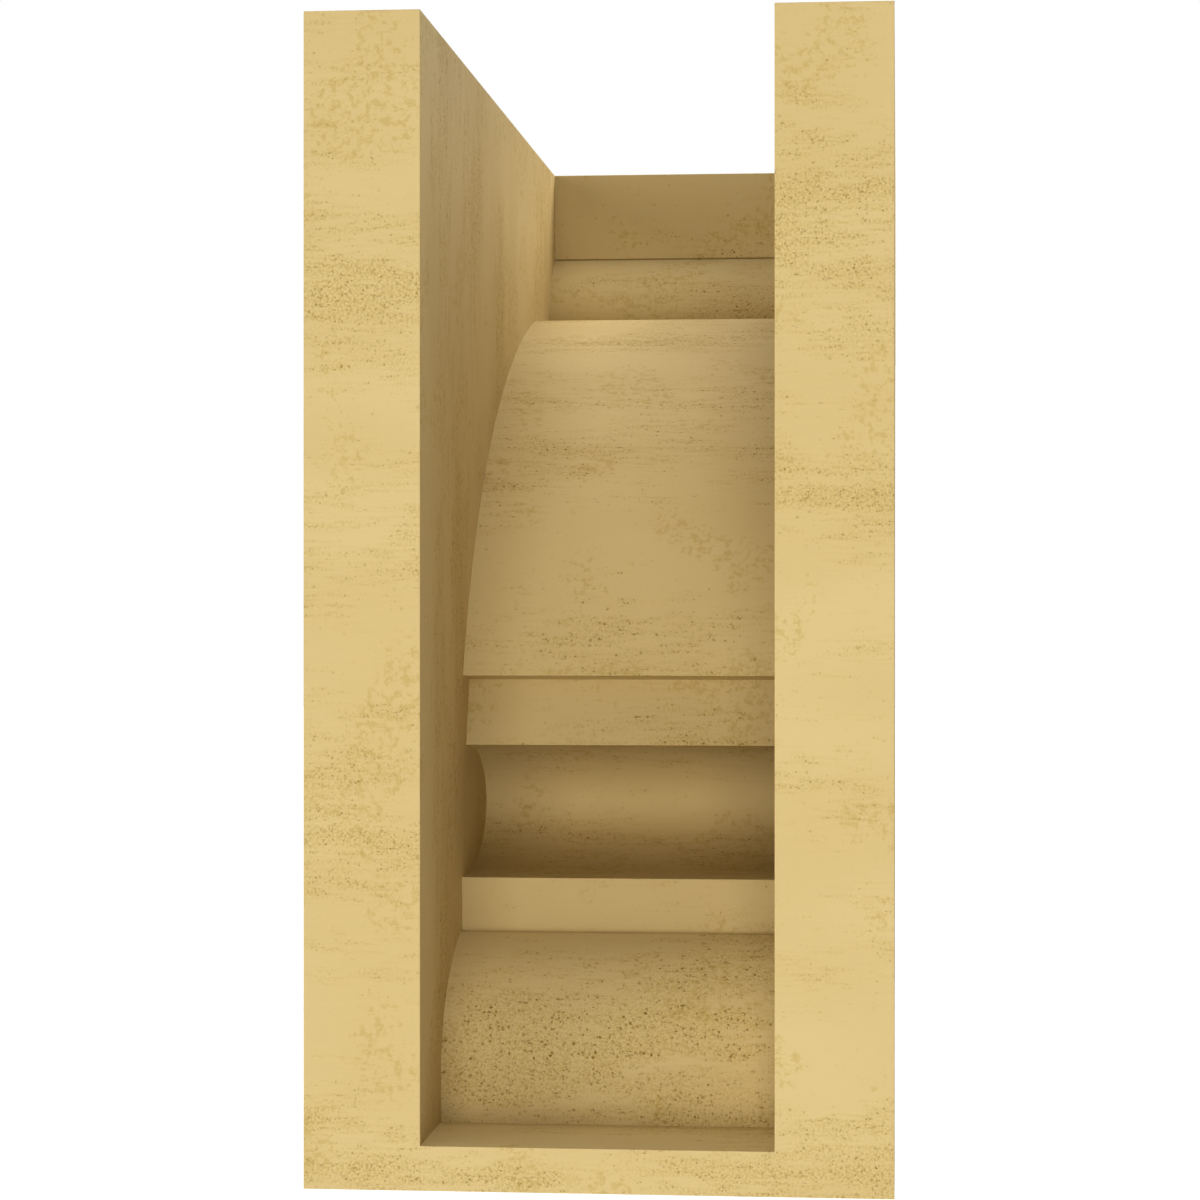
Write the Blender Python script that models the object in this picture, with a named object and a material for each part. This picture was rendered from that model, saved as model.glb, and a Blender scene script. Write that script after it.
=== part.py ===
"""Hollow moulded corbel: thick side cheeks, a thin moulded front and a floor, open at the back and the top.

The wall plane is Y = 0 and the body projects towards -Y. X runs across the width and Z is up.
The origin is the middle of the floor's back edge, which lies flat against the wall.

The front is one outline drawn in depth (distance from the wall) and level (height above the underside).
From the underside up it has a foot, a small cove, a neck, a half-round roll, a leaning collar,
a shelf, the large cove, a soffit, a lip with a small cove, and the fascia.
The stretch between the shelf and the soffit takes up whatever height and depth the other members leave.
"""

import math

import bmesh
import bpy

# Overall sizes, in metres
HEIGHT = 0.3048
DEPTH = 0.3048
WIDTH = 0.1524

# Walls
CHEEK_THICKNESS = 0.0305
FRONT_WALL = 0.0127
FLOOR_THICKNESS = 0.0116

# Foot and the small cove over it
FOOT_DEPTH = 0.0466
FOOT_HEIGHT = 0.0250
FOOT_COVE_DEPTH = 0.0500
FOOT_COVE_RISE = 0.0253
FOOT_COVE_SWEEP = math.radians(57.0)

# Neck, roll and collar
NECK_OVERHANG = 0.0149
NECK_HEIGHT = 0.0148
ROLL_SETBACK = 0.0050
ROLL_PROJECTION = 0.0530
ROLL_RISE = 0.0314
COLLAR_OVERHANG = 0.0186
COLLAR_HEIGHT = 0.0185
COLLAR_LEAN = math.radians(19.3)
SHELF_WIDTH = 0.0091
SHELF_RISE = 0.0014

# Large cove, as the angles of its ellipse where it starts and ends
COVE_FOOT_ANGLE = math.radians(22.5)
COVE_HEAD_ANGLE = math.radians(72.5)

# Soffit, lip, the small cove under the fascia, and the fascia
SOFFIT_WIDTH = 0.0444
LIP_HEIGHT = 0.0072
LIP_COVE_DEPTH = 0.0379
LIP_COVE_RISE = 0.0269
LIP_COVE_SWEEP = math.radians(48.0)
FASCIA_OVERHANG = 0.0085
FASCIA_HEIGHT = 0.0428

# How far the cutter for the hollow runs past the open back and top
OVERCUT = 0.0200

# Straight pieces in each curve
SMALL_COVE_STEPS = 10
ROLL_STEPS = 28
LARGE_COVE_STEPS = 30

# Primed tan finish
TAN = (0.62, 0.49, 0.24, 1.0)
TAN_ROUGHNESS = 0.72


def clear_scene():
    """Remove every object, so that only the corbel is in the file."""
    for scene_object in list(bpy.data.objects):
        bpy.data.objects.remove(scene_object, do_unlink=True)


def levels_and_depths():
    """Place of each member's corner on the outer face, stacked from the foot up and from the top down."""
    place = {}
    place["foot_cove_end"] = FOOT_DEPTH + FOOT_COVE_DEPTH * (1 - math.cos(FOOT_COVE_SWEEP))
    place["neck_underside"] = FOOT_HEIGHT + FOOT_COVE_RISE * math.sin(FOOT_COVE_SWEEP)
    place["neck_depth"] = place["foot_cove_end"] + NECK_OVERHANG
    place["roll_depth"] = place["neck_depth"] - ROLL_SETBACK
    place["roll_level"] = place["neck_underside"] + NECK_HEIGHT + ROLL_RISE
    place["shelf_level"] = place["roll_level"] + ROLL_RISE + COLLAR_HEIGHT
    place["collar_depth"] = place["neck_depth"] + COLLAR_OVERHANG
    place["cove_foot_level"] = place["shelf_level"] + SHELF_RISE
    place["cove_foot_depth"] = place["collar_depth"] - SHELF_WIDTH

    place["fascia_underside"] = HEIGHT - FASCIA_HEIGHT
    place["lip_level"] = place["fascia_underside"] - LIP_COVE_RISE * math.sin(LIP_COVE_SWEEP)
    place["soffit_level"] = place["lip_level"] - LIP_HEIGHT
    lip_cove_reach = LIP_COVE_DEPTH * (1 - math.cos(LIP_COVE_SWEEP))
    place["lip_depth"] = DEPTH - FASCIA_OVERHANG - lip_cove_reach
    place["cove_head_depth"] = place["lip_depth"] - SOFFIT_WIDTH
    return place


def large_cove_ellipse(place):
    """Half depth, half height and centre level of the ellipse that joins the shelf to the soffit."""
    cosines = math.cos(COVE_FOOT_ANGLE) - math.cos(COVE_HEAD_ANGLE)
    sines = math.sin(COVE_HEAD_ANGLE) - math.sin(COVE_FOOT_ANGLE)
    depth = (place["cove_head_depth"] - place["cove_foot_depth"]) / cosines
    rise = (place["soffit_level"] - place["cove_foot_level"]) / sines
    level = place["cove_foot_level"] - rise * math.sin(COVE_FOOT_ANGLE)
    face = place["cove_foot_depth"] - depth * (1 - math.cos(COVE_FOOT_ANGLE))
    return face, level, depth, rise


def cove(face, level, depth, rise, start, end, steps):
    """Hollow elliptical curve that leaves an upright face at a level and leans out as it rises to end.

    Where start is below the level, the upright face itself runs down to it.
    """
    first = math.asin(max(start - level, 0.0) / rise)
    last = math.asin((end - level) / rise)
    points = [(face, start)] if start < level else []
    for step in range(steps + 1):
        angle = first + (last - first) * step / steps
        points.append((face + depth * (1 - math.cos(angle)), level + rise * math.sin(angle)))
    return points


def roll(centre_depth, level, projection, rise, neck_depth, collar_depth_at_level):
    """Half-round roll, from where it leaves the upright neck to where the leaning collar leaves it."""
    first = -math.acos((neck_depth - centre_depth) / projection)
    lean = math.tan(COLLAR_LEAN)
    gap = collar_depth_at_level - centre_depth
    square = (lean / projection) ** 2 + 1 / rise**2
    half_linear = gap * lean / projection**2
    constant = (gap / projection) ** 2 - 1
    crossing = (-half_linear + math.sqrt(half_linear**2 - square * constant)) / square
    last = math.atan2(crossing / rise, (gap + lean * crossing) / projection)
    points = []
    for step in range(ROLL_STEPS + 1):
        angle = first + (last - first) * step / ROLL_STEPS
        points.append((centre_depth + projection * math.cos(angle), level + rise * math.sin(angle)))
    return points


def front_outline(inset, bottom, top):
    """Front face from bottom to top as (depth, level) points, moved into the material by inset.

    Upright faces move back, undersides move up, the shelf moves down,
    and each curve keeps its centre while its half depth and half height change by the inset.
    """
    place = levels_and_depths()
    neck_depth = place["neck_depth"] - inset
    collar_rise = place["shelf_level"] - place["roll_level"]
    collar_depth_at_level = place["collar_depth"] - math.tan(COLLAR_LEAN) * collar_rise - inset
    collar_level = place["shelf_level"] - inset
    collar_rise_here = collar_level - place["roll_level"]
    collar_depth = collar_depth_at_level + math.tan(COLLAR_LEAN) * collar_rise_here
    cove_face, cove_level, cove_depth, cove_rise = large_cove_ellipse(place)

    points = cove(
        FOOT_DEPTH - inset, FOOT_HEIGHT, FOOT_COVE_DEPTH + inset, FOOT_COVE_RISE + inset,
        bottom, place["neck_underside"] + inset, SMALL_COVE_STEPS,
    )
    points.append((neck_depth, place["neck_underside"] + inset))
    points += roll(
        place["roll_depth"], place["roll_level"], ROLL_PROJECTION - inset, ROLL_RISE - inset,
        neck_depth, collar_depth_at_level,
    )
    points.append((collar_depth, collar_level))
    points += cove(
        cove_face - inset, cove_level, cove_depth + inset, cove_rise + inset,
        place["cove_foot_level"] - inset, place["soffit_level"] + inset, LARGE_COVE_STEPS,
    )
    points += cove(
        place["lip_depth"] - inset, place["lip_level"], LIP_COVE_DEPTH + inset, LIP_COVE_RISE + inset,
        place["soffit_level"] + inset, place["fascia_underside"] + inset, SMALL_COVE_STEPS,
    )
    points.append((DEPTH - inset, place["fascia_underside"] + inset))
    points.append((DEPTH - inset, top))
    return points


def extruded(name, outline, width):
    """Closed prism of a (depth, level) outline, centred across X, in the corbel's own frame."""
    mesh = bpy.data.meshes.new(name)
    prism = bmesh.new()
    origin_level = FLOOR_THICKNESS / 2
    corners = [prism.verts.new((-width / 2, -depth, level - origin_level)) for depth, level in outline]
    face = prism.faces.new(corners)
    swept = bmesh.ops.extrude_face_region(prism, geom=[face])
    moved = [item for item in swept["geom"] if isinstance(item, bmesh.types.BMVert)]
    bmesh.ops.translate(prism, verts=moved, vec=(width, 0.0, 0.0))
    bmesh.ops.recalc_face_normals(prism, faces=prism.faces)
    prism.to_mesh(mesh)
    prism.free()
    solid = bpy.data.objects.new(name, mesh)
    bpy.context.scene.collection.objects.link(solid)
    return solid


def tan_finish():
    """Matte tan primer over the moulding."""
    material = bpy.data.materials.new("primed_tan")
    material.use_nodes = True
    shader = material.node_tree.nodes["Principled BSDF"]
    shader.inputs["Base Color"].default_value = TAN
    shader.inputs["Roughness"].default_value = TAN_ROUGHNESS
    shader.inputs["Metallic"].default_value = 0.0
    return material


def make_hollow():
    """Cutter for the space between the cheeks, which runs out past the back and the top."""
    outline = [(-OVERCUT, FLOOR_THICKNESS)]
    outline += front_outline(FRONT_WALL, FLOOR_THICKNESS, HEIGHT + OVERCUT)
    outline.append((-OVERCUT, HEIGHT + OVERCUT))
    hollow = extruded("hollow", outline, WIDTH - 2 * CHEEK_THICKNESS)
    hollow.display_type = "WIRE"
    hollow.hide_render = True
    return hollow


def make_corbel():
    """One moulding: the outer block with the hollow cut out of it."""
    outline = [(0.0, 0.0)] + front_outline(0.0, 0.0, HEIGHT) + [(0.0, HEIGHT)]
    corbel = extruded("corbel", outline, WIDTH)
    corbel.data.materials.append(tan_finish())
    cut = corbel.modifiers.new("hollow", "BOOLEAN")
    cut.operation = "DIFFERENCE"
    cut.solver = "EXACT"
    cut.object = make_hollow()
    corbel.data.shade_smooth()
    corbel.data.set_sharp_from_angle(angle=math.radians(20))
    return corbel


clear_scene()
make_corbel()
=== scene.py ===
"""Looks of the hollow moulded corbel, seen from the side that goes against the wall.

The corbel is one moulding in tan primer. Its visible piece is drawn again here with finer curves
and softened arrises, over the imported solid, and its finish is worked out from Object coordinates.
"""

import math

import bpy
import numpy as np
from bpy.props import FloatProperty, FloatVectorProperty, PointerProperty
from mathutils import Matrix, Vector


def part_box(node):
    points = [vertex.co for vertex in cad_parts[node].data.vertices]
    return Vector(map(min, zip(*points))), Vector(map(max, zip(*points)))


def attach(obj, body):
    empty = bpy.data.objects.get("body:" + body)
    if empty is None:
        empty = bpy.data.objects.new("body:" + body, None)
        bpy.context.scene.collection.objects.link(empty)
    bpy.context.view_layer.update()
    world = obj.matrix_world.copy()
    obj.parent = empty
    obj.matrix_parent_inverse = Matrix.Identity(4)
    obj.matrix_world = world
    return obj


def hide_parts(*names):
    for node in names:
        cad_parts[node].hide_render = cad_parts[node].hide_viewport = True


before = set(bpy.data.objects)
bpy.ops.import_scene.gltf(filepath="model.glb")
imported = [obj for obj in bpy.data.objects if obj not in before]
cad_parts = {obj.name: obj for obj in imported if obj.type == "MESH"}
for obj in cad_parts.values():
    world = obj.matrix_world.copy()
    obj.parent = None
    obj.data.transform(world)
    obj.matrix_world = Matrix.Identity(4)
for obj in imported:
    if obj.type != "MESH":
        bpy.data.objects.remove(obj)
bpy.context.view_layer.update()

bl_info = {
    "name": "Hollow corbel",
    "version": (1, 0, 0),
    "blender": (4, 5, 0),
    "location": "View3D > Sidebar > Corbel",
    "description": "Builds a hollow moulded corbel in tan primer, and its studio",
    "category": "Object",
}

NODE = "corbel"
BODY = "root"

NODE_LOW, NODE_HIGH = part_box(NODE)
MIDDLE = (NODE_LOW.z + NODE_HIGH.z) / 2

WHITE = (1.0, 1.0, 1.0, 1.0)

# Detail, roughness and place of each noise of the finish. The place is counted in the noise's own features,
# and sets where its busy and clean parts fall on the corbel.
BANDS = (0.0, 0.5, (5.7, 0.8, 17.5))
DRIFTS = (2.0, 0.65, (20.4, 22.4, 29.7))
THREADS = (1.0, 0.5, (43.3, 53.8, 46.8))
GRAIN = (0.0, 0.5, (11.0, 4.0, 6.0))
WARMTH = (0.0, 0.5, (9.0, 9.0, 2.0))
SPREAD = (0.0, 0.5, (57.9, 10.3, 58.4))
CLOUDS = (3.0, 0.75, (7.0, 1.0, 3.0))
FIBRES = (0.0, 0.5, (4.0, 4.0, 4.0))

# Sizes of the noises along the grain and across it, in streak lengths
BAND_RUN, BAND_RISE = 4, 1.1
WARMTH_RUN = 3
SPREAD_RUN = 0.9
FIBRE_RUN = 0.5
THREAD_RUN = 0.32
THREAD_RISE = 0.20          # in streak heights
FIBRE_WIDTH = 0.0009        # in metres

# Crowding of the specks: the shares of its three noises, and the sums that give none and all of it
BAND_SHARE, DRIFT_SHARE, THREAD_SHARE = 0.38, 0.36, 0.26
CROWDING_RANGE = (0.46, 0.65)

# Specks: the share of cells that show one anywhere, and what the crowding adds. Their strength likewise.
STRAY_SPECKS, CROWDED_SPECKS = 0.06, 0.85
STRAY_STRENGTH, CROWDED_STRENGTH = 0.45, 0.45
SPECK_FADE = 0.08           # crowding over which a speck comes up
SPECK_RADIUS = 0.45         # radius of the weakest speck, in spacings
SPECK_GROWTH = 0.15         # what the strongest one has more
SPECK_CORE = 0.4            # part of the radius that is fully dark
SPECK_FAINT = 0.14          # darkness of the weakest speck
SPECK_ROUGHENING = 0.10     # added roughness on a speck

# Other patterns: the noise values that give none and all of each, and its strength
WARMTH_RANGE, WARMTH_STRENGTH = (0.35, 0.65), 0.6
SPREAD_RANGE, SPREAD_SHARE = (0.50, 0.66), 0.12
BLOTCH_RANGE = (0.54, 0.66)
STRAY_BLOTCH, SPREAD_BLOTCH = 0.37, 0.15
MOTTLING_RANGE, MOTTLING_STRENGTH = (0.30, 0.70), 0.60
FIBRE_BUMP = 0.6
GLOSS = 0.20                # specular level of the primer

ARRIS_SEGMENTS = 3
ARRIS_ANGLE = 15            # degrees between faces from which an edge is softened

# Each sun's turn from the wall side towards +X and its climb, and the angle that a sun fills, in degrees
SUNS = {"side": (60, 8), "overhead": (0, 90), "front_top": (180, 60)}
SUN_ANGLE = 40
# Each softbox's side, turn, climb and distance, and how far below the top edge the upper one is aimed
SOFTBOXES = {"softbox": (0.6, 0, -4, 1.1), "top_box": (0.2, -135, 35, 0.346)}
TOP_BOX_AIM = 0.049

FLOOR_TONE_SIZE, FLOOR_TONE = 0.8, 0.03
FLOOR_SHADE = (0.8, 0.8, 0.8, 1.0)
FLOOR_ROUGHNESS, FLOOR_GLOSS = 0.9, 0.1

PHOTO_SIDE = 1200           # pixels along the frame in which the camera was solved
FILM = 36.0                 # millimetres


def length(name, description, default):
    """A size in metres that the sidebar shows."""
    return FloatProperty(name=name, description=description, default=default, unit="LENGTH", precision=4)


def angle(name, description, degrees):
    """An angle that the sidebar shows in degrees."""
    return FloatProperty(name=name, description=description, default=math.radians(degrees), subtype="ANGLE")


def number(name, description, default):
    """A plain number that the sidebar shows."""
    return FloatProperty(name=name, description=description, default=default, precision=3)


def colour(name, description, default):
    """A scene-linear colour that the sidebar shows."""
    return FloatVectorProperty(
        name=name, description=description, default=default, subtype="COLOR", size=3, min=0.0, max=1.0
    )


class CorbelSizes(bpy.types.PropertyGroup):
    """Sizes of the moulding, named from the underside up."""

    height: length("Height", "Underside to top edge", NODE_HIGH.z - NODE_LOW.z)
    depth: length("Depth", "Wall to the front of the fascia", NODE_HIGH.y - NODE_LOW.y)
    width: length("Width", "Across both cheeks", NODE_HIGH.x - NODE_LOW.x)
    cheek: length("Cheek", "Thickness of each side cheek", 0.0305)
    wall: length("Front wall", "Thickness of the moulded front", 0.0127)
    floor: length("Floor", "Thickness of the floor", 0.0116)
    foot_depth: length("Foot depth", "Wall to the front of the foot", 0.0466)
    foot_height: length("Foot height", "Underside to the start of the foot cove", 0.0250)
    foot_cove_depth: length("Foot cove depth", "Half depth of the foot cove's ellipse", 0.0500)
    foot_cove_rise: length("Foot cove rise", "Half height of the foot cove's ellipse", 0.0253)
    foot_cove_sweep: angle("Foot cove sweep", "How much of its ellipse the foot cove takes", 57.0)
    neck_overhang: length("Neck overhang", "Underside of the neck past the foot cove", 0.0149)
    neck_height: length("Neck height", "Neck band under the roll", 0.0148)
    roll_setback: length("Roll setback", "Roll's centre behind the neck's face", 0.0050)
    roll_projection: length("Roll projection", "Half depth of the roll", 0.0530)
    roll_rise: length("Roll rise", "Half height of the roll", 0.0314)
    collar_overhang: length("Collar overhang", "Collar's top edge past the neck", 0.0186)
    collar_height: length("Collar height", "Roll's top to the collar's top edge", 0.0185)
    collar_lean: angle("Collar lean", "Collar's lean off the vertical", 19.3)
    shelf_width: length("Shelf width", "Shelf between the collar and the large cove", 0.0091)
    shelf_rise: length("Shelf rise", "How much the shelf climbs towards the cove", 0.0014)
    cove_foot: angle("Cove foot", "Angle on its ellipse where the large cove starts", 22.5)
    cove_head: angle("Cove head", "Angle on its ellipse where the large cove ends", 72.5)
    soffit_width: length("Soffit width", "Flat underside in front of the large cove", 0.0444)
    lip_height: length("Lip height", "Upright lip under the top cove", 0.0072)
    lip_cove_depth: length("Top cove depth", "Half depth of the top cove's ellipse", 0.0379)
    lip_cove_rise: length("Top cove rise", "Half height of the top cove's ellipse", 0.0269)
    lip_cove_sweep: angle("Top cove sweep", "How much of its ellipse the top cove takes", 48.0)
    fascia_overhang: length("Fascia overhang", "Fascia past the top cove", 0.0085)
    fascia_height: length("Fascia height", "Upright front at the top", 0.0428)
    arris: length("Arris", "Radius that softens each edge of the moulding", 0.0004)
    facet: length("Facet", "Longest straight piece in a curve", 0.0014)


class CorbelFinish(bpy.types.PropertyGroup):
    """Colours and pattern sizes of the tan primer."""

    tan: colour("Tan", "Clean primer", (0.575, 0.452, 0.225))
    honey: colour("Honey", "Primer in the slow warmer bands", (0.545, 0.420, 0.200))
    ochre: colour("Ochre", "Soft blotches and mottling", (0.445, 0.320, 0.100))
    umber: colour("Umber", "Specks", (0.190, 0.106, 0.002))
    roughness: number("Roughness", "Roughness of clean primer", 0.74)
    grain: length("Grain", "Size of the finest mottling", 0.00065)
    speck: length("Speck", "Spacing of the specks", 0.00085)
    streak_length: length("Streak length", "Length of a drift of specks along the grain", 0.026)
    streak_height: length("Streak height", "Height of a drift of specks across the grain", 0.0055)
    blotch: length("Blotch", "Size of the ochre blotches", 0.0024)
    grain_relief: length("Grain relief", "Height of the fine surface relief", 0.00006)


class CorbelStage(bpy.types.PropertyGroup):
    """Floor, light and camera."""

    floor_colour: colour("Floor", "Plain pale floor", (0.90, 0.90, 0.90))
    floor_drop: length("Floor drop", "Underside of the corbel down to the floor", 1.0)
    floor_size: length("Floor size", "Side of the square floor", 60.0)
    floor_glow: number("Floor glow", "Even light of its own that keeps the floor white", 0.32)
    surroundings: number("Surroundings", "Light from the white surroundings", 0.15)
    softbox: number("Softbox", "Light of the softbox by the camera", 2.00)
    top_box: number("Top box", "Light of the small softbox over the front's top, to -X", 2.75)
    side: number("Side", "Broad low light from the wall side, to +X", 1.15)
    overhead: number("Overhead", "Broad light from straight above", 1.22)
    front_top: number("Front top", "Broad light from above the front", 1.06)
    contrast: number("Contrast", "Steepness of the picture's tone curve, 1 for none", 1.20)
    camera_side: length("Camera side", "Camera off the corbel's middle plane, towards -X", 0.0771)
    camera_back: length("Camera back", "Camera behind the wall plane", 0.7322)
    camera_yaw: angle("Camera yaw", "Camera's turn off the corbel's depth", 4.96)
    focal_pixels: number("Focal length", "Focal length in pixels of the photograph", 2870.0)
    axis_right: number("Axis right", "Optical axis right of the frame's middle, in pixels", 49.0)


class Value:
    """A number, vector or colour socket that can stand in an expression."""

    def __init__(self, graph, socket):
        self.graph = graph
        self.socket = socket

    def math(self, operation, first, second):
        """The Math node for one operation on two numbers or sockets."""
        return self.graph.node("ShaderNodeMath", {"operation": operation}, {0: first, 1: second})

    def __add__(self, other):
        return self.math("ADD", self, other)

    def __radd__(self, other):
        return self.math("ADD", other, self)

    def __sub__(self, other):
        return self.math("SUBTRACT", self, other)

    def __rsub__(self, other):
        return self.math("SUBTRACT", other, self)

    def __mul__(self, other):
        return self.math("MULTIPLY", self, other)

    def __rmul__(self, other):
        return self.math("MULTIPLY", other, self)

    def __gt__(self, other):
        return self.math("GREATER_THAN", self, other)


class Graph:
    """The node tree of one material or world, written as expressions."""

    def __init__(self, owner):
        owner.use_nodes = True
        self.tree = owner.node_tree

    def node(self, kind, settings=None, values=None, output=0):
        """Adds a node, sets it up, fills its inputs with numbers or links, and returns one output."""
        made = self.tree.nodes.new(kind)
        for name, setting in (settings or {}).items():
            setattr(made, name, setting)
        for key, value in (values or {}).items():
            self.feed(made.inputs[key], value)
        return Value(self, made.outputs[output])

    def other(self, value, output):
        """Another output of the node that a value comes from."""
        return Value(self, value.socket.node.outputs[output])

    def feed(self, socket, value):
        """Links a Value to a socket, or sets the socket to a plain number, vector or colour."""
        if isinstance(value, Value):
            self.tree.links.new(value.socket, socket)
        else:
            socket.default_value = value

    def vector(self, operation, first, second):
        """Vector Math on two vectors."""
        return self.node("ShaderNodeVectorMath", {"operation": operation}, {0: first, 1: second})

    def mix(self, factor, first, second):
        """A colour between first and second."""
        settings = {"data_type": "RGBA", "clamp_factor": True}
        return self.node("ShaderNodeMix", settings, {0: factor, 6: first, 7: second}, output=2)

    def choose(self, factor, first, second):
        """A vector between first and second."""
        settings = {"data_type": "VECTOR", "clamp_factor": True}
        return self.node("ShaderNodeMix", settings, {0: factor, 4: first, 5: second}, output=1)

    def step(self, value, low, high, bottom=0.0, top=1.0):
        """Smooth step: bottom up to low, top from high, and an easy curve between."""
        settings = {"interpolation_type": "SMOOTHSTEP", "clamp": True}
        return self.node("ShaderNodeMapRange", settings, {0: value, 1: low, 2: high, 3: bottom, 4: top})

    def noise(self, place, size, detail=2.0, roughness=0.5, offset=(0.0, 0.0, 0.0)):
        """Noise whose features are size metres, one number for all ways or one for each of X, Y and Z."""
        sizes = (size, size, size) if isinstance(size, (int, float)) else size
        scale = tuple(1.0 / each for each in sizes)
        scaled = self.vector("MULTIPLY", place, scale)
        moved = self.vector("ADD", scaled, offset)
        values = {"Vector": moved, "Scale": 1.0, "Detail": detail, "Roughness": roughness}
        return self.node("ShaderNodeTexNoise", {}, values)


def elliptical_cove(face, level, depth, rise, start, end, facet):
    """Hollow curve as (depth, level) rows: face + depth (1 - cos a), level + rise sin a.

    The angle a runs evenly from where the curve meets start to where it meets end.
    Where start is below the level, the upright face itself runs down to it.
    """
    first = math.asin(max(start - level, 0.0) / rise)
    last = math.asin((end - level) / rise)
    steps = math.ceil((last - first) * max(depth, rise) / facet)
    turn = np.linspace(first, last, steps + 1)
    curve = np.column_stack((face + depth * (1 - np.cos(turn)), level + rise * np.sin(turn)))
    return np.vstack(([face, start], curve)) if start < level else curve


def half_round(centre, level, projection, rise, neck, collar, lean, facet):
    """Roll as (depth, level) rows: centre + projection cos a, level + rise sin a.

    It starts on the upright neck line and ends on the collar line, depth = collar + lean (z - level),
    whose crossing with the ellipse is the upper root of a quadratic in z - level.
    """
    gap = collar - centre
    square = (lean / projection) ** 2 + 1 / rise**2
    half_linear = gap * lean / projection**2
    constant = (gap / projection) ** 2 - 1
    crossing = (-half_linear + math.sqrt(half_linear**2 - square * constant)) / square
    first = -math.acos((neck - centre) / projection)
    last = math.atan2(crossing / rise, (gap + lean * crossing) / projection)
    steps = math.ceil((last - first) * projection / facet)
    turn = np.linspace(first, last, steps + 1)
    return np.column_stack((centre + projection * np.cos(turn), level + rise * np.sin(turn)))


def front_outline(sizes, inset, bottom, top):
    """The moulded front from bottom to top as (depth, level) rows, moved into the material by inset.

    Upright faces move back, undersides move up and the shelf moves down by the inset, and
    each curve keeps its centre while its half depth and half height change by the inset.
    """
    foot_cove_end = sizes.foot_depth + sizes.foot_cove_depth * (1 - math.cos(sizes.foot_cove_sweep))
    underside = sizes.foot_height + sizes.foot_cove_rise * math.sin(sizes.foot_cove_sweep)
    neck = foot_cove_end + sizes.neck_overhang
    roll_level = underside + sizes.neck_height + sizes.roll_rise
    shelf = roll_level + sizes.roll_rise + sizes.collar_height
    lean = math.tan(sizes.collar_lean)
    collar = neck + sizes.collar_overhang - lean * (shelf - roll_level) - inset
    collar_top = (collar + lean * (shelf - inset - roll_level), shelf - inset)

    fascia = sizes.height - sizes.fascia_height
    lip_level = fascia - sizes.lip_cove_rise * math.sin(sizes.lip_cove_sweep)
    soffit = lip_level - sizes.lip_height
    lip = sizes.depth - sizes.fascia_overhang - sizes.lip_cove_depth * (1 - math.cos(sizes.lip_cove_sweep))

    start = (neck + sizes.collar_overhang - sizes.shelf_width, shelf + sizes.shelf_rise)
    end = (lip - sizes.soffit_width, soffit)
    cove_depth = (end[0] - start[0]) / (math.cos(sizes.cove_foot) - math.cos(sizes.cove_head))
    cove_rise = (end[1] - start[1]) / (math.sin(sizes.cove_head) - math.sin(sizes.cove_foot))
    cove_face = start[0] - cove_depth * (1 - math.cos(sizes.cove_foot))
    cove_level = start[1] - cove_rise * math.sin(sizes.cove_foot)

    foot_cove = elliptical_cove(
        sizes.foot_depth - inset, sizes.foot_height,
        sizes.foot_cove_depth + inset, sizes.foot_cove_rise + inset,
        bottom, underside + inset, sizes.facet,
    )
    roll = half_round(
        neck - sizes.roll_setback, roll_level, sizes.roll_projection - inset, sizes.roll_rise - inset,
        neck - inset, collar, lean, sizes.facet,
    )
    large_cove = elliptical_cove(
        cove_face - inset, cove_level, cove_depth + inset, cove_rise + inset,
        start[1] - inset, soffit + inset, sizes.facet,
    )
    top_cove = elliptical_cove(
        lip - inset, lip_level, sizes.lip_cove_depth + inset, sizes.lip_cove_rise + inset,
        soffit + inset, fascia + inset, sizes.facet,
    )
    corner = (neck - inset, underside + inset)
    front = ((sizes.depth - inset, fascia + inset), (sizes.depth - inset, top))
    return np.vstack((foot_cove, corner, roll, collar_top, large_cove, top_cove, front))


def side_loop(outline, bottom, top):
    """A front outline closed along the wall plane: its rows, with a corner on the wall before and after."""
    return np.vstack(([0.0, bottom], outline, [0.0, top]))


def placed(loop, across):
    """Rows of (depth, level) as points at one place across the width, in the corbel's frame."""
    points = np.empty((len(loop), 3))
    points[:, 0] = across
    points[:, 1] = -loop[:, 0]
    points[:, 2] = loop[:, 1] + NODE_LOW.z
    return points


def strip(first, second, count):
    """Quads between two equal loops that start at two vertex numbers, along their first count + 1 rows."""
    row = np.arange(count)
    return np.column_stack((first + row, first + row + 1, second + row + 1, second + row))


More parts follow.
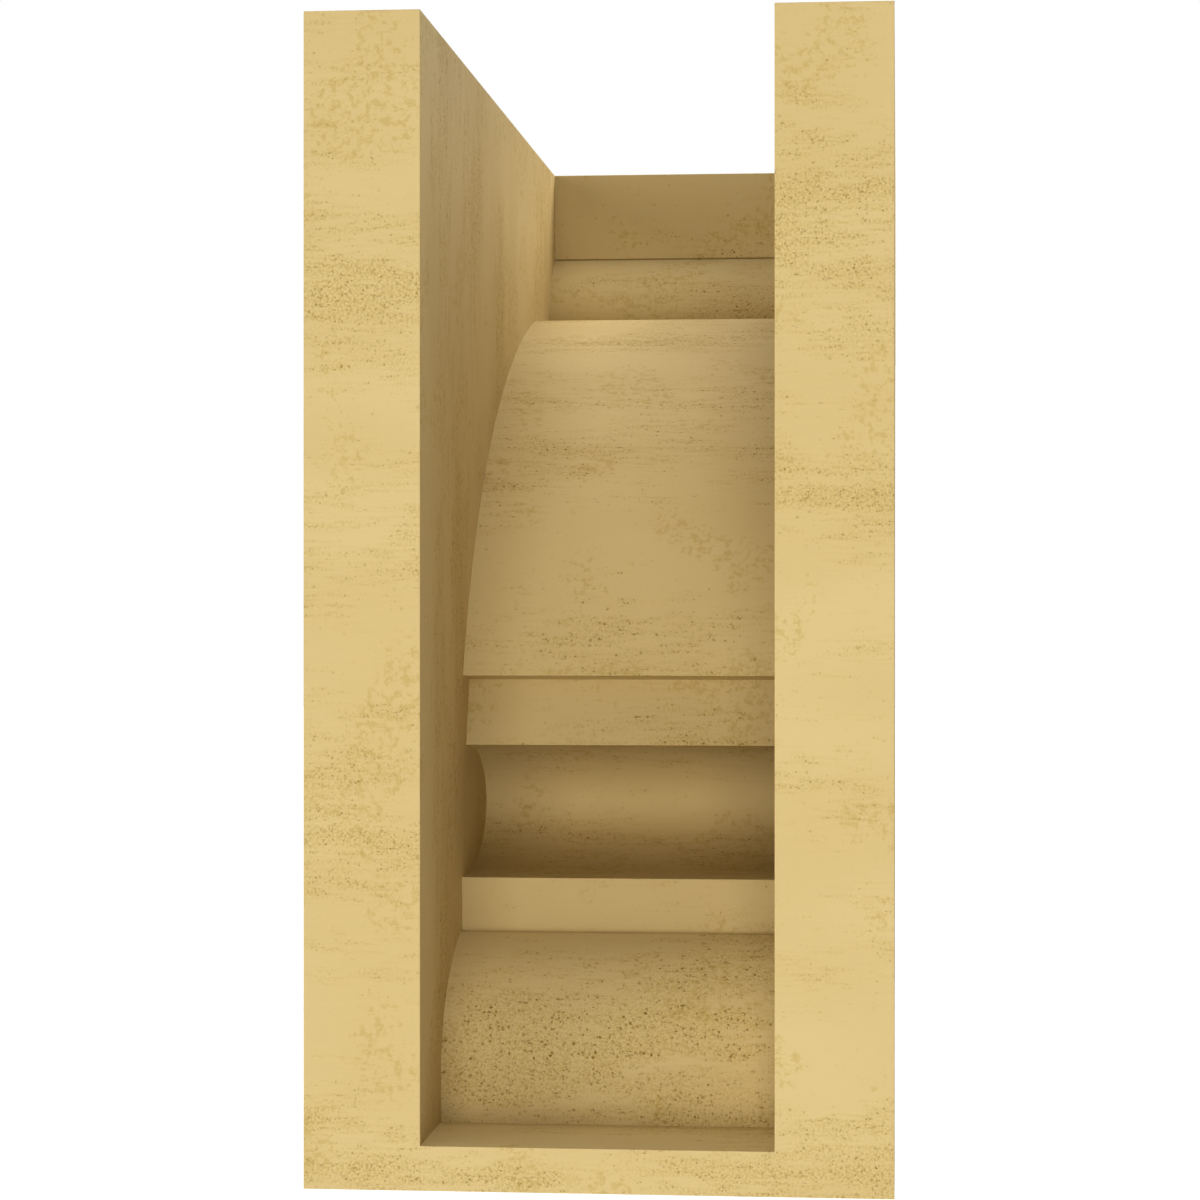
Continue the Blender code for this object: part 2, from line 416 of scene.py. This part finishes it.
def corbel_mesh(sizes):
    """The closed moulding: two outlines carried straight across the width.

    The outer outline runs the full width. The inner one, a front wall further in, runs between the cheeks.
    Quads join each outline's copies from the wall corner round to the top edge of the front.
    Each cheek's outer and inner faces, the U of the top and the U against the wall are flat faces.
    Left and right are as the wall sees them, so left is +X, and every face is turned outwards.
    """
    outer = side_loop(front_outline(sizes, 0.0, 0.0, sizes.height), 0.0, sizes.height)
    inner = side_loop(front_outline(sizes, sizes.wall, sizes.floor, sizes.height), sizes.floor, sizes.height)
    half = sizes.width / 2
    mouth = half - sizes.cheek
    outsides = placed(outer, half), placed(outer, -half)
    insides = placed(inner, mouth), placed(inner, -mouth)
    points = np.vstack((*outsides, *insides))

    outer_left, outer_right = 0, len(outer)
    inner_left = 2 * len(outer)
    inner_right = inner_left + len(inner)
    outer_front, inner_front = len(outer) - 2, len(inner) - 2
    outer_last, inner_last = len(outer) - 1, len(inner) - 1
    top = [
        outer_left + outer_last, inner_left + inner_last, inner_left + inner_front,
        inner_right + inner_front, inner_right + inner_last, outer_right + outer_last,
        outer_right + outer_front, outer_left + outer_front,
    ]
    wall = [
        outer_left, outer_right, outer_right + outer_last, inner_right + inner_last,
        inner_right, inner_left, inner_left + inner_last, outer_left + outer_last,
    ]
    faces = strip(outer_left, outer_right, outer_front).tolist()
    faces += strip(inner_right, inner_left, inner_front).tolist()
    faces.append(np.arange(outer_right - 1, outer_left - 1, -1).tolist())
    faces.append(np.arange(outer_right, inner_left).tolist())
    faces.append(np.arange(inner_left, inner_right).tolist())
    faces.append(np.arange(inner_right + inner_last, inner_right - 1, -1).tolist())
    faces += [top, wall]

    mesh = bpy.data.meshes.new("corbel_moulding")
    mesh.from_pydata(points.tolist(), [], faces)
    if mesh.validate():
        raise RuntimeError("the corbel's mesh had faces that Blender refused")
    mesh.shade_smooth()
    return mesh


def specks(graph, place, spacing, crowding):
    """How strongly specks cover, from 0 to 1.

    Each cell of a cellular texture may hold one round speck about its own point. The cell's first random
    number is compared with the crowding and shows the speck. Its second number sets the radius, and cubed
    the strength.
    """
    scaled = graph.vector("MULTIPLY", place, (1.0 / spacing,) * 3)
    distance = graph.node("ShaderNodeTexVoronoi", {"feature": "F1"}, {"Vector": scaled, "Scale": 1.0})
    lot = graph.node("ShaderNodeSeparateColor", {}, {0: graph.other(distance, 1)})
    strength = graph.other(lot, 1)
    shown = graph.step(crowding - lot, 0.0, SPECK_FADE)
    reach = strength * SPECK_GROWTH + SPECK_RADIUS
    dot = graph.step(distance, reach * SPECK_CORE, reach, 1.0, 0.0)
    return dot * shown * (strength * strength * strength * (1 - SPECK_FAINT) + SPECK_FAINT)


def primed_tan(finish):
    """Matte tan primer with drifts of dark specks and ochre mottling along the grain, and ochre blotches.

    The grain runs across the width, except on the cheeks, where it stands upright.
    """
    material = bpy.data.materials.new("primed_tan_finish")
    graph = Graph(material)

    coordinates = graph.node("ShaderNodeTexCoord", output=3)
    facing = graph.node("ShaderNodeSeparateXYZ", {}, {0: graph.node("ShaderNodeNewGeometry", output=1)})
    sideways = graph.node("ShaderNodeMath", {"operation": "ABSOLUTE"}, {0: facing}) > math.sqrt(0.5)
    across = graph.node("ShaderNodeSeparateXYZ", {}, {0: coordinates})
    out, up = graph.other(across, 1), graph.other(across, 2)
    upright = graph.node("ShaderNodeCombineXYZ", {}, {0: up, 1: out, 2: across})
    place = graph.choose(sideways, coordinates, upright)

    run, rise = finish.streak_length, finish.streak_height
    bands = graph.noise(place, (run * BAND_RUN, run * BAND_RISE, run * BAND_RISE), *BANDS)
    drifts = graph.noise(place, (run, rise, rise), *DRIFTS)
    threads = graph.noise(place, (run * THREAD_RUN, rise * THREAD_RISE, rise * THREAD_RISE), *THREADS)
    mixed = bands * BAND_SHARE + drifts * DRIFT_SHARE + threads * THREAD_SHARE
    crowding = graph.step(mixed, *CROWDING_RANGE)

    grain = graph.noise(place, finish.grain, *GRAIN)
    shake = graph.vector("MULTIPLY", graph.other(grain, 1), (finish.speck,) * 3)
    shaken = graph.vector("ADD", place, shake)
    cover = specks(graph, shaken, finish.speck, crowding * CROWDED_SPECKS + STRAY_SPECKS)

    warmth = graph.step(graph.noise(place, (run * WARMTH_RUN, run, run), *WARMTH), *WARMTH_RANGE)
    spread = graph.step(graph.noise(place, run * SPREAD_RUN, *SPREAD), *SPREAD_RANGE)
    clouds = graph.noise(place, finish.blotch, *CLOUDS)
    blotches = graph.step(clouds * (1 - SPREAD_SHARE) + spread * SPREAD_SHARE, *BLOTCH_RANGE)

    tan, honey = (*finish.tan, 1.0), (*finish.honey, 1.0)
    ochre, umber = (*finish.ochre, 1.0), (*finish.umber, 1.0)
    base = graph.mix(warmth * WARMTH_STRENGTH, tan, honey)
    base = graph.mix(blotches * (spread * SPREAD_BLOTCH + STRAY_BLOTCH), base, ochre)
    base = graph.mix(graph.step(grain, *MOTTLING_RANGE) * crowding * MOTTLING_STRENGTH, base, ochre)
    base = graph.mix(cover * (crowding * CROWDED_STRENGTH + STRAY_STRENGTH), base, umber)

    fibres = graph.noise(place, (run * FIBRE_RUN, FIBRE_WIDTH, FIBRE_WIDTH), *FIBRES)
    relief = {"Strength": FIBRE_BUMP, "Distance": finish.grain_relief, "Height": fibres}
    bump = graph.node("ShaderNodeBump", {}, relief)

    shader = graph.tree.nodes["Principled BSDF"]
    graph.feed(shader.inputs["Base Color"], base)
    graph.feed(shader.inputs["Roughness"], cover * SPECK_ROUGHENING + finish.roughness)
    graph.feed(shader.inputs["Normal"], bump)
    shader.inputs["Specular IOR Level"].default_value = GLOSS
    shader.inputs["Metallic"].default_value = 0.0
    return material


class OBJECT_OT_corbel_moulding(bpy.types.Operator):
    """Build the corbel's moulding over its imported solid"""

    bl_idname = "object.corbel_moulding"
    bl_label = "Build moulding"

    def execute(self, context):
        sizes = context.scene.corbel_sizes
        moulding = bpy.data.objects.new("corbel_moulding", corbel_mesh(sizes))
        context.scene.collection.objects.link(moulding)
        moulding.data.materials.append(primed_tan(context.scene.corbel_finish))

        arris = moulding.modifiers.new("arris", "BEVEL")
        arris.width = sizes.arris
        arris.segments = ARRIS_SEGMENTS
        arris.limit_method = "ANGLE"
        arris.angle_limit = math.radians(ARRIS_ANGLE)
        arris.harden_normals = True

        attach(moulding, BODY)
        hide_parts(NODE)
        return {"FINISHED"}


def pale_paint(stage):
    """Matte pale paint of the floor, with a very faint tone so that it isn't flat."""
    material = bpy.data.materials.new("pale_floor")
    graph = Graph(material)
    place = graph.node("ShaderNodeTexCoord", output=3)
    tone = graph.noise(place, FLOOR_TONE_SIZE)
    pale = (*stage.floor_colour, 1.0)
    shader = graph.tree.nodes["Principled BSDF"]
    graph.feed(shader.inputs["Base Color"], graph.mix(tone * FLOOR_TONE, pale, FLOOR_SHADE))
    shader.inputs["Roughness"].default_value = FLOOR_ROUGHNESS
    shader.inputs["Specular IOR Level"].default_value = FLOOR_GLOSS
    shader.inputs["Emission Color"].default_value = WHITE
    shader.inputs["Emission Strength"].default_value = stage.floor_glow
    return material


def lay_floor(stage):
    """Square floor well below the corbel, which hangs on its wall face."""
    half = stage.floor_size / 2
    level = NODE_LOW.z - stage.floor_drop
    corners = [(-half, -half, level), (half, -half, level), (half, half, level), (-half, half, level)]
    mesh = bpy.data.meshes.new("floor")
    mesh.from_pydata(corners, [], [(0, 1, 2, 3)])
    mesh.materials.append(pale_paint(stage))
    floor = bpy.data.objects.new("floor", mesh)
    bpy.context.scene.collection.objects.link(floor)


def from_wall_side(turn, climb):
    """Unit vector towards a light: turned from +Y towards +X and raised, both in degrees."""
    turn, climb = math.radians(turn), math.radians(climb)
    return Vector((math.sin(turn) * math.cos(climb), math.cos(turn) * math.cos(climb), math.sin(climb)))


def hang_lamp(lamp, towards, place=None):
    """Puts a lamp into the scene, shining back along the vector towards it."""
    holder = bpy.data.objects.new(lamp.name, lamp)
    holder.rotation_mode = "QUATERNION"
    holder.rotation_quaternion = towards.to_track_quat("Z", "Y")
    if place:
        holder.location = place
    bpy.context.scene.collection.objects.link(holder)
    return holder


def light_studio(stage):
    """Surroundings that look white and give little light, two softboxes and three broad suns."""
    world = bpy.data.worlds.new("studio")
    graph = Graph(world)
    seen = graph.node("ShaderNodeLightPath")
    backdrop = world.node_tree.nodes["Background"]
    backdrop.inputs["Color"].default_value = WHITE
    graph.feed(backdrop.inputs["Strength"], seen.math("MAXIMUM", seen, stage.surroundings))
    bpy.context.scene.world = world

    for name, (turn, climb) in SUNS.items():
        sun = bpy.data.lights.new(name, "SUN")
        sun.energy = getattr(stage, name)
        sun.angle = math.radians(SUN_ANGLE)
        hang_lamp(sun, from_wall_side(turn, climb))

    aims = {
        "softbox": Vector((0.0, 0.0, MIDDLE)),
        "top_box": Vector((0.0, NODE_LOW.y / 2, NODE_HIGH.z - TOP_BOX_AIM)),
    }
    for name, (size, turn, climb, distance) in SOFTBOXES.items():
        box = bpy.data.lights.new(name, "AREA")
        box.size = size
        box.energy = getattr(stage, name) * math.pi * distance**2
        towards = from_wall_side(turn, climb)
        hang_lamp(box, towards, aims[name] + towards * distance).visible_camera = False


def place_camera(stage):
    """The photograph's camera: level with the corbel's middle, a little towards -X and turned back to it."""
    data = bpy.data.cameras.new("camera")
    data.sensor_width = FILM
    data.lens = FILM * stage.focal_pixels / PHOTO_SIDE
    data.shift_x = -stage.axis_right / PHOTO_SIDE
    camera = bpy.data.objects.new("camera", data)
    camera.location = (-stage.camera_side, stage.camera_back, MIDDLE)
    ahead = Vector((math.sin(stage.camera_yaw), -math.cos(stage.camera_yaw), 0.0))
    camera.rotation_mode = "QUATERNION"
    camera.rotation_quaternion = ahead.to_track_quat("-Z", "Y")
    bpy.context.scene.collection.objects.link(camera)
    bpy.context.scene.camera = camera


class OBJECT_OT_corbel_stage(bpy.types.Operator):
    """Set up the floor, the light and the camera"""

    bl_idname = "object.corbel_stage"
    bl_label = "Build stage"

    def execute(self, context):
        stage = context.scene.corbel_stage
        lay_floor(stage)
        light_studio(stage)
        place_camera(stage)
        context.scene.view_settings.view_transform = "Standard"
        context.scene.view_settings.gamma = 1 / stage.contrast
        return {"FINISHED"}


class VIEW3D_PT_corbel(bpy.types.Panel):
    """Sizes, colours and steps of the corbel"""

    bl_label = "Hollow corbel"
    bl_space_type = "VIEW_3D"
    bl_region_type = "UI"
    bl_category = "Corbel"

    def draw(self, context):
        for group, operators in (
            (context.scene.corbel_sizes, ()),
            (context.scene.corbel_finish, (OBJECT_OT_corbel_moulding.bl_idname,)),
            (context.scene.corbel_stage, (OBJECT_OT_corbel_stage.bl_idname,)),
        ):
            column = self.layout.column(align=True)
            for name in group.__annotations__:
                column.prop(group, name)
            for operator in operators:
                column.operator(operator)


GROUPS = {"corbel_sizes": CorbelSizes, "corbel_finish": CorbelFinish, "corbel_stage": CorbelStage}
CLASSES = (*GROUPS.values(), OBJECT_OT_corbel_moulding, OBJECT_OT_corbel_stage, VIEW3D_PT_corbel)


def register():
    """Registers the classes and hangs each group of settings on the scene."""
    for each in CLASSES:
        bpy.utils.register_class(each)
    for name, group in GROUPS.items():
        setattr(bpy.types.Scene, name, PointerProperty(type=group))


def unregister():
    """Takes the settings and the classes away again."""
    for name in GROUPS:
        delattr(bpy.types.Scene, name)
    for each in reversed(CLASSES):
        bpy.utils.unregister_class(each)


def main():
    register()
    bpy.ops.object.corbel_stage()
    bpy.ops.object.corbel_moulding()
    bpy.context.view_layer.update()


if __name__ == "__main__":
    main()
